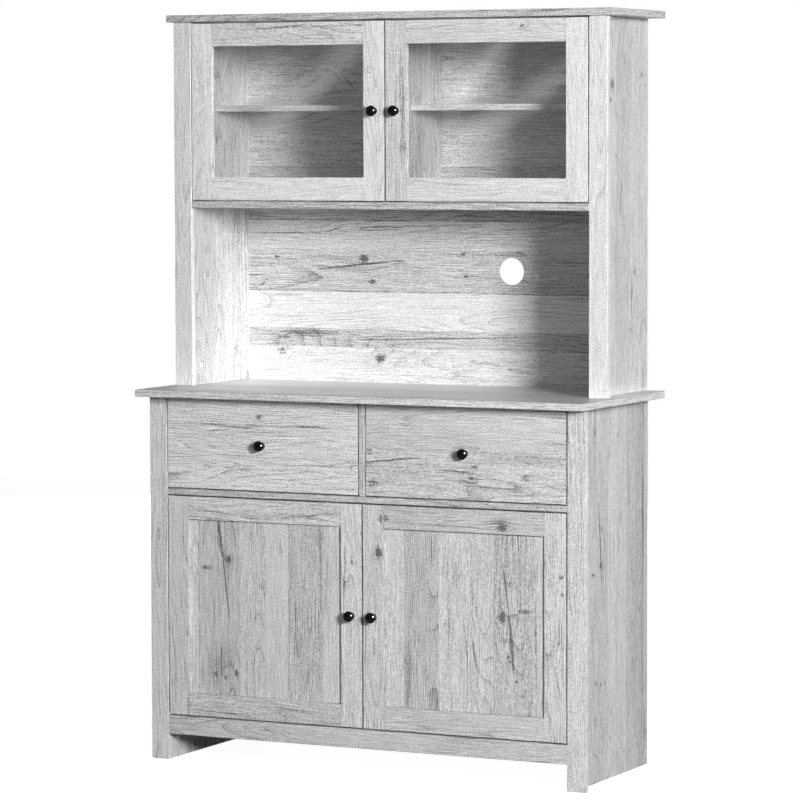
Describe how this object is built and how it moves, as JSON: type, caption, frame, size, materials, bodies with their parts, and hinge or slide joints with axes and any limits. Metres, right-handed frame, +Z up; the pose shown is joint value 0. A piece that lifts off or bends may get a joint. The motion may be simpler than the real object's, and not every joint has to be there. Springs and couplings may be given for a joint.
{
  "type": "kitchen pantry cabinet",
  "caption": "Buffet base with drawers over framed doors, carrying a hutch with an open appliance bay under glass doors, in grey oak board.",
  "frame": {"origin": "on the floor under the middle of the worktop", "axes": "+Z up, -Y towards the person facing the doors, +X to that person's right"},
  "size_m": [1.178, 0.483, 1.8],
  "materials": {
    "grey_oak_board": "matt melamine printed as light grey oak, with fine dark pores and a few knots",
    "grey_oak_worktop": "the same grey oak print with a satin face that mirrors softly at a low angle",
    "grey_oak_backboard": "thin fibreboard faced with the grey oak print on the room side",
    "drawer_lining": "particle board wrapped in light grey paper foil",
    "knob_black": "glossy black enamel",
    "clear_glass": "clear float glass",
    "hinge_steel": "nickel-plated pressed steel",
    "rail_steel": "light grey enamelled steel"
  },
  "bodies": {
    "case": {"base_side_left": "grey_oak_board", "base_side_right": "grey_oak_board", "base_stile_left": "grey_oak_board", "base_stile_right": "grey_oak_board", "toe_rail": "grey_oak_board", "base_floor": "grey_oak_board", "drawer_deck": "grey_oak_board", "drawer_divider": "grey_oak_board", "cupboard_divider": "grey_oak_board", "base_back": "grey_oak_backboard", "worktop": "grey_oak_worktop", "base_shelf_left": "grey_oak_board", "base_shelf_right": "grey_oak_board", "hutch_side_left": "grey_oak_board", "hutch_side_right": "grey_oak_board", "hutch_stile_left": "grey_oak_board", "hutch_stile_right": "grey_oak_board", "hutch_deck": "grey_oak_board", "hutch_divider": "grey_oak_board", "hutch_back": "grey_oak_backboard", "crown_board": "grey_oak_board", "hutch_shelf_left": "grey_oak_board", "hutch_shelf_right": "grey_oak_board", "base_door_left_arm_lower": "hinge_steel", "base_door_left_arm_upper": "hinge_steel", "base_door_right_arm_lower": "hinge_steel", "base_door_right_arm_upper": "hinge_steel", "hutch_door_left_arm_lower": "hinge_steel", "hutch_door_left_arm_upper": "hinge_steel", "hutch_door_right_arm_lower": "hinge_steel", "hutch_door_right_arm_upper": "hinge_steel", "drawer_left_rail": "rail_steel", "drawer_right_rail": "rail_steel"},
    "base_door_left": {"base_door_left_frame": "grey_oak_board", "base_door_left_panel": "grey_oak_board", "base_door_left_knob": "knob_black", "base_door_left_cup_lower": "hinge_steel", "base_door_left_cup_upper": "hinge_steel"},
    "base_door_right": {"base_door_right_frame": "grey_oak_board", "base_door_right_panel": "grey_oak_board", "base_door_right_knob": "knob_black", "base_door_right_cup_lower": "hinge_steel", "base_door_right_cup_upper": "hinge_steel"},
    "hutch_door_left": {"hutch_door_left_frame": "grey_oak_board", "hutch_door_left_glass": "clear_glass", "hutch_door_left_knob": "knob_black", "hutch_door_left_cup_lower": "hinge_steel", "hutch_door_left_cup_upper": "hinge_steel"},
    "hutch_door_right": {"hutch_door_right_frame": "grey_oak_board", "hutch_door_right_glass": "clear_glass", "hutch_door_right_knob": "knob_black", "hutch_door_right_cup_lower": "hinge_steel", "hutch_door_right_cup_upper": "hinge_steel"},
    "drawer_left": {"drawer_left_front": "grey_oak_board", "drawer_left_knob": "knob_black", "drawer_left_box": "drawer_lining"},
    "drawer_right": {"drawer_right_front": "grey_oak_board", "drawer_right_knob": "knob_black", "drawer_right_box": "drawer_lining"}
  },
  "joints": [
    {"name": "base_door_left_swing", "type": "hinge", "parent": "case", "child": "base_door_left", "pos_m": [-0.526, -0.1945, 0.37675], "axis": [0, 0, -1], "range_deg": [0, 105]},
    {"name": "base_door_right_swing", "type": "hinge", "parent": "case", "child": "base_door_right", "pos_m": [0.526, -0.1945, 0.37675], "axis": [0, 0, 1], "range_deg": [0, 105]},
    {"name": "hutch_door_left_swing", "type": "hinge", "parent": "case", "child": "hutch_door_left", "pos_m": [-0.5245, -0.0695, 1.56625], "axis": [0, 0, -1], "range_deg": [0, 105]},
    {"name": "hutch_door_right_swing", "type": "hinge", "parent": "case", "child": "hutch_door_right", "pos_m": [0.5245, -0.0695, 1.56625], "axis": [0, 0, 1], "range_deg": [0, 105]},
    {"name": "drawer_left_slide", "type": "slide", "parent": "case", "child": "drawer_left", "axis": [0, -1, 0], "range_m": [0, 0.27]},
    {"name": "drawer_right_slide", "type": "slide", "parent": "case", "child": "drawer_right", "axis": [0, -1, 0], "range_m": [0, 0.27]}
  ]
}
